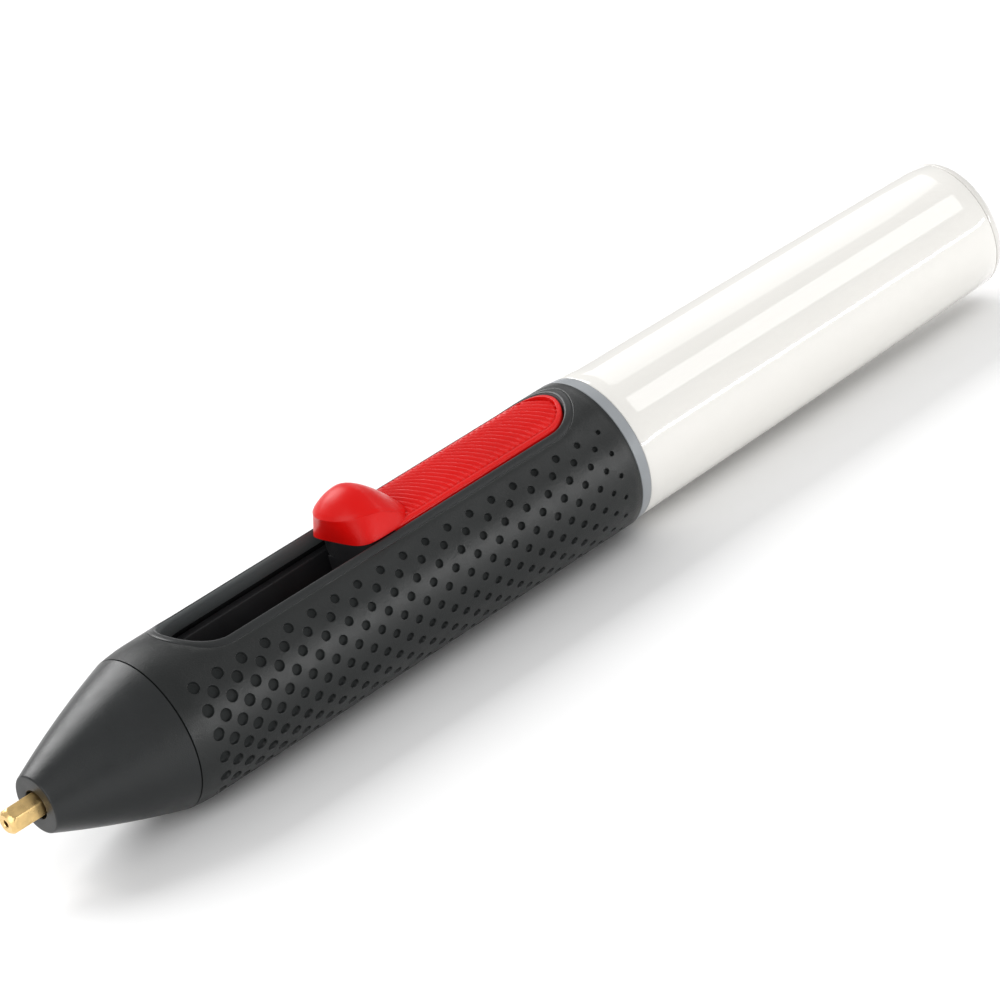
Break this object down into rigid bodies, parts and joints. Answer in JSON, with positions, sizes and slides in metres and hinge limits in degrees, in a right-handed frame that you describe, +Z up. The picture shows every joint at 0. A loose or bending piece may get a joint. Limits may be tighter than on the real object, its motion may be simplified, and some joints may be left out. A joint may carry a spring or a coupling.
{
  "type": "glue gun",
  "caption": "Cordless glue pen: hexagonal nozzle on a tapered nose, dimpled grip with an open loading slot and a thumb slider, and a pull-off barrel over the cells.",
  "frame": {"origin": "on the surface the pen lies on, under the middle of its length", "axes": "+X along the pen from the nozzle to the rear end, +Z up through the thumb slider"},
  "size_m": [0.205, 0.027, 0.0324],
  "materials": {
    "brass": "turned, slightly tarnished",
    "black_nylon": "fine satin grain",
    "grip_rubber": "soft matte, dimpled",
    "black_inner": "smooth matte",
    "red_plastic": "satin, fine ribs",
    "ring_grey": "satin silver grey",
    "white_gloss": "high gloss, warm white",
    "cap_white": "gloss",
    "light_pipe": "translucent",
    "aluminium_block": "machined",
    "copper_band": "wound",
    "ceramic_sleeve": "fired, matte",
    "silicone": "matte",
    "spring_steel": "bright",
    "cell_can": "sleeved green, bare ends",
    "board_green": "solder mask",
    "chip_black": "moulded",
    "lead_red": "insulated wire"
  },
  "bodies": {
    "front_half": {"nozzle": "brass", "nose_cone": "black_nylon", "tip_insulator": "silicone", "melt_chamber": "aluminium_block", "heater_winding": "copper_band", "heater_insulation": "ceramic_sleeve", "thermal_sensor": "chip_black", "chamber_holder": "black_inner", "holder_screws": "spring_steel", "inlet_sleeve": "silicone", "grip_sleeve": "grip_rubber", "grip_core": "black_inner", "slot_bezel": "black_nylon", "feed_trough": "black_inner", "bulkhead": "black_inner", "front_contact": "spring_steel", "heater_leads": "lead_red", "collar_ring": "ring_grey", "battery_cradle": "black_inner", "battery_cell_front": "cell_can", "battery_cell_rear": "cell_can", "rear_contact_spring": "spring_steel", "rear_contact_plate": "spring_steel", "barrel_seal": "grip_rubber", "circuit_board": "board_green", "board_components": "chip_black", "status_light": "light_pipe", "usb_socket": "spring_steel", "switch_board": "board_green", "tact_switch": "chip_black"},
    "slider": {"slider_cap": "red_plastic", "slider_carriage": "black_inner", "pusher": "black_inner", "pusher_tip": "silicone", "detent_spring": "spring_steel"},
    "rear_half": {"barrel": "white_gloss", "end_cap": "cap_white", "light_window": "light_pipe"},
    "button": {"power_button": "red_plastic"}
  },
  "joints": [
    {"name": "slider_feed", "type": "slide", "parent": "front_half", "child": "slider", "axis": [-1, 0, 0], "range_m": [0, 0.031]},
    {"name": "barrel_pull", "type": "slide", "parent": "front_half", "child": "rear_half", "axis": [1, 0, 0], "range_m": [0, 0.085]},
    {"name": "button_press", "type": "slide", "parent": "rear_half", "child": "button", "axis": [-1, 0, 0], "range_m": [0, 0.0007], "stiffness_N_per_m": 2000}
  ]
}
